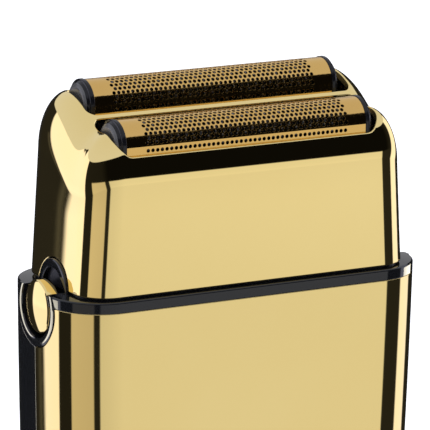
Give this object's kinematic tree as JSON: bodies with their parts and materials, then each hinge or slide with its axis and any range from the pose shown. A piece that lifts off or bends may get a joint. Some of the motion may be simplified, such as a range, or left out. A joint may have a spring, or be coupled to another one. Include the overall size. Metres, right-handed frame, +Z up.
{
  "type": "foil shaver",
  "caption": "Cordless double foil shaver with a flat tapered handle, a lift-off head with two floating foils, side release buttons and a slide switch.",
  "frame": {"origin": "centre of the flat base", "axes": "+Z up to the foils, +X to the right seen from the switch side, -Y the gold front with the switch"},
  "size_m": [0.0624, 0.025, 0.1149],
  "materials": {
    "gold_plate": "mirror gold plating",
    "gold_foil": "gold plated perforated steel sheet",
    "black_gloss": "high gloss moulding",
    "black_plastic": "fine satin moulding",
    "grey_plastic": "satin moulding",
    "steel": "bright ground steel",
    "ivory_plastic": "acetal moulding",
    "cell_sleeve": "shrink sleeve",
    "board": "solder resist",
    "soft_rubber": "soft rubber",
    "led_lens": "clear lens"
  },
  "bodies": {
    "handle": {"front_shell": "gold_plate", "rear_shell": "black_gloss", "top_rim": "black_gloss", "base_cap": "black_plastic", "base_screws": "steel", "chassis": "grey_plastic", "chassis_screws": "steel", "battery_cells": "cell_sleeve", "battery_tabs": "steel", "circuit_board": "board", "switch_unit": "grey_plastic", "switch_bezel": "black_plastic", "power_led": "led_lens", "charging_socket": "black_plastic", "charging_pin": "steel", "motor": "steel", "motor_pad": "soft_rubber", "motor_frame": "grey_plastic", "motor_screws": "steel", "frame_screws": "steel", "guide_rods": "steel", "drive_seal": "soft_rubber", "button_spring_left": "steel", "button_spring_right": "steel"},
    "power_slider": {"switch_slider": "black_plastic"},
    "rotor": {"motor_shaft": "steel", "eccentric_cam": "ivory_plastic"},
    "front_arm": {"drive_arm_front": "ivory_plastic", "cutter_spring_front": "steel"},
    "rear_arm": {"drive_arm_rear": "ivory_plastic", "cutter_spring_rear": "steel"},
    "front_cutter": {"cutter_holder_front": "ivory_plastic", "cutter_blades_front": "steel"},
    "rear_cutter": {"cutter_holder_rear": "ivory_plastic", "cutter_blades_rear": "steel"},
    "left_button": {"release_button_left": "gold_plate"},
    "right_button": {"release_button_right": "gold_plate"},
    "head": {"head_shell": "gold_plate", "head_frame": "black_plastic", "foil_spring_front": "steel", "foil_spring_rear": "steel"},
    "front_foil_unit": {"foil_carrier_front": "black_plastic", "foil_front": "gold_foil"},
    "rear_foil_unit": {"foil_carrier_rear": "black_plastic", "foil_rear": "gold_foil"}
  },
  "joints": [
    {"name": "head_lift_off", "type": "slide", "parent": "handle", "child": "head", "axis": [0, 0, 1], "range_m": [0, 0.035]},
    {"name": "front_foil_float", "type": "slide", "parent": "head", "child": "front_foil_unit", "axis": [0, 0, -1], "range_m": [0, 0.0015], "stiffness_N_per_m": 500, "springref_m": -0.001, "deforming": ["foil_spring_front"]},
    {"name": "rear_foil_float", "type": "slide", "parent": "head", "child": "rear_foil_unit", "axis": [0, 0, -1], "range_m": [0, 0.0015], "stiffness_N_per_m": 500, "springref_m": -0.001, "deforming": ["foil_spring_rear"]},
    {"name": "front_arm_stroke", "type": "slide", "parent": "handle", "child": "front_arm", "axis": [1, 0, 0], "range_m": [-0.0012, 0.0012]},
    {"name": "rear_arm_stroke", "type": "slide", "parent": "handle", "child": "rear_arm", "axis": [1, 0, 0], "range_m": [-0.0012, 0.0012]},
    {"name": "front_cutter_float", "type": "slide", "parent": "front_arm", "child": "front_cutter", "axis": [0, 0, -1], "range_m": [0, 0.0015], "stiffness_N_per_m": 300, "springref_m": -0.001, "deforming": ["cutter_spring_front"]},
    {"name": "rear_cutter_float", "type": "slide", "parent": "rear_arm", "child": "rear_cutter", "axis": [0, 0, -1], "range_m": [0, 0.0015], "stiffness_N_per_m": 300, "springref_m": -0.001, "deforming": ["cutter_spring_rear"]},
    {"name": "motor_spin", "type": "hinge", "parent": "handle", "child": "rotor", "pos_m": [0, 0, 0.07], "axis": [0, 0, 1], "continuous": true},
    {"name": "left_release", "type": "slide", "parent": "handle", "child": "left_button", "axis": [1, 0, 0], "range_m": [0, 0.0012], "stiffness_N_per_m": 600, "springref_m": -0.001, "deforming": ["button_spring_left"]},
    {"name": "right_release", "type": "slide", "parent": "handle", "child": "right_button", "axis": [-1, 0, 0], "range_m": [0, 0.0012], "stiffness_N_per_m": 600, "springref_m": -0.001, "deforming": ["button_spring_right"]},
    {"name": "power_switch", "type": "slide", "parent": "handle", "child": "power_slider", "axis": [0, 0, 1], "range_m": [0, 0.005]}
  ],
  "couplings": [
    {"joint": "rear_arm_stroke", "follows": "front_arm_stroke", "ratio": -1},
    {"joint": "front_cutter_float", "follows": "front_foil_float", "ratio": 1},
    {"joint": "rear_cutter_float", "follows": "rear_foil_float", "ratio": 1}
  ]
}
